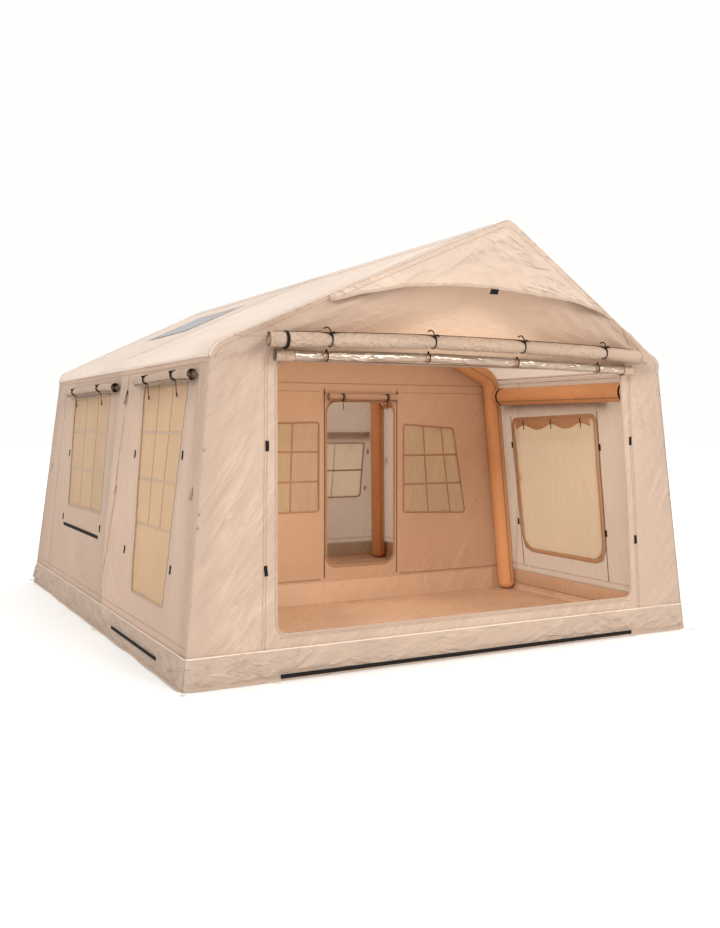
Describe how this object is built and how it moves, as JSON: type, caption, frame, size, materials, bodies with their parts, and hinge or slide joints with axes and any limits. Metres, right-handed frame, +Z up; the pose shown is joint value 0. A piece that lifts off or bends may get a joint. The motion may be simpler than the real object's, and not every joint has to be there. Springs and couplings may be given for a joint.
{
  "type": "inflatable tent",
  "caption": "Gabled air-beam tent with leaning walls, peaked visor, open front doorway, rolled covers over mesh windows, roof lights, inner partition and tub floor.",
  "frame": {"origin": "centre of the footprint on the ground, under the middle of the bounding box", "axes": "+Z up, -Y out of the open front doorway, +Y towards the rear wall, +X towards the right-hand wall as seen from outside the doorway"},
  "size_m": [3.878, 5.3416, 2.6998],
  "materials": {
    "beam_cloth": "matte",
    "roof_cloth": "matte",
    "wall_cloth": "matte",
    "partition_cloth": "matte",
    "floor_cloth": "satin",
    "mesh_window": "matte",
    "clear_pane": "gloss",
    "film_roll": "gloss",
    "rolled_cloth": "matte",
    "black_webbing": "matte",
    "pale_webbing": "matte",
    "dark_plastic": "satin"
  },
  "bodies": {
    "tent": {"arch_front": "beam_cloth", "arch_middle": "beam_cloth", "arch_rear": "beam_cloth", "eave_beam_left_front": "beam_cloth", "eave_beam_left_rear": "beam_cloth", "eave_beam_right_front": "beam_cloth", "eave_beam_right_rear": "beam_cloth", "front_gable": "wall_cloth", "front_visor": "roof_cloth", "front_wall": "wall_cloth", "groundsheet": "floor_cloth", "left_wall": "wall_cloth", "partition_sill": "floor_cloth", "partition_wall": "partition_cloth", "rear_gable": "wall_cloth", "rear_wall": "wall_cloth", "ridge_beam_front": "beam_cloth", "ridge_beam_rear": "beam_cloth", "right_wall": "wall_cloth", "roof_left": "roof_cloth", "roof_right": "roof_cloth", "skirt_front": "wall_cloth", "skirt_left": "wall_cloth", "skirt_rear": "wall_cloth", "skirt_right": "wall_cloth", "skylight_left": "clear_pane", "skylight_right": "clear_pane", "stake_loop_door_left": "pale_webbing", "stake_loop_door_right": "pale_webbing", "stake_loop_front_left": "pale_webbing", "stake_loop_front_right": "pale_webbing", "stake_loop_rear_left": "pale_webbing", "stake_loop_rear_right": "pale_webbing", "stake_loop_side_left": "pale_webbing", "stake_loop_side_right": "pale_webbing", "strip_front": "black_webbing", "strip_left_low": "black_webbing", "strip_left_rear": "black_webbing", "valve_body": "dark_plastic", "window_left_front": "mesh_window", "window_left_rear": "mesh_window", "window_partition_left": "mesh_window", "window_partition_right": "mesh_window", "window_rear_wall": "mesh_window", "window_right_front": "mesh_window", "window_right_rear": "mesh_window", "zip_track_left": "black_webbing", "zip_track_right": "black_webbing"},
    "door_roll": {"door_roll": "rolled_cloth"},
    "film_roll": {"film_roll": "film_roll"},
    "cover_roll_left_front": {"cover_roll_left_front": "rolled_cloth"},
    "cover_roll_left_rear": {"cover_roll_left_rear": "rolled_cloth"},
    "cover_roll_right_front": {"cover_roll_right_front": "rolled_cloth"},
    "cover_roll_right_rear": {"cover_roll_right_rear": "rolled_cloth"},
    "cover_roll_rear_wall": {"cover_roll_rear_wall": "rolled_cloth"},
    "partition_door_roll": {"partition_door_roll": "rolled_cloth"},
    "zip_slider_left": {"zip_slider_left": "dark_plastic"},
    "zip_slider_right": {"zip_slider_right": "dark_plastic"},
    "valve_cap": {"valve_cap": "dark_plastic"}
  },
  "joints": [
    {"name": "door_roll_down", "type": "slide", "parent": "tent", "child": "door_roll", "axis": [0, -0.0465, -0.9989], "range_m": [0, 1.62]},
    {"name": "film_roll_down", "type": "slide", "parent": "tent", "child": "film_roll", "axis": [0, -0.0465, -0.9989], "range_m": [0, 1.55]},
    {"name": "left_front_cover_down", "type": "slide", "parent": "tent", "child": "cover_roll_left_front", "axis": [-0.103, 0, -0.9947], "range_m": [0, 1.37]},
    {"name": "left_rear_cover_down", "type": "slide", "parent": "tent", "child": "cover_roll_left_rear", "axis": [-0.103, 0, -0.9947], "range_m": [0, 0.95]},
    {"name": "right_front_cover_down", "type": "slide", "parent": "tent", "child": "cover_roll_right_front", "axis": [0.103, 0, -0.9947], "range_m": [0, 1.23]},
    {"name": "right_rear_cover_down", "type": "slide", "parent": "tent", "child": "cover_roll_right_rear", "axis": [0.103, 0, -0.9947], "range_m": [0, 0.95]},
    {"name": "rear_wall_cover_down", "type": "slide", "parent": "tent", "child": "cover_roll_rear_wall", "axis": [0, 0.1686, -0.9857], "range_m": [0, 0.65]},
    {"name": "partition_door_roll_down", "type": "slide", "parent": "tent", "child": "partition_door_roll", "axis": [0, 0, -1], "range_m": [0, 1.36]},
    {"name": "zip_slider_left_down", "type": "slide", "parent": "tent", "child": "zip_slider_left", "axis": [0, 0, -1], "range_m": [0, 1.48]},
    {"name": "zip_slider_right_down", "type": "slide", "parent": "tent", "child": "zip_slider_right", "axis": [0, 0, -1], "range_m": [0, 1.48]},
    {"name": "valve_cap_flip", "type": "hinge", "parent": "tent", "child": "valve_cap", "pos_m": [-1.66419, 2.13305, 0.32], "axis": [0, 0, 1], "range_deg": [0, 150]}
  ]
}
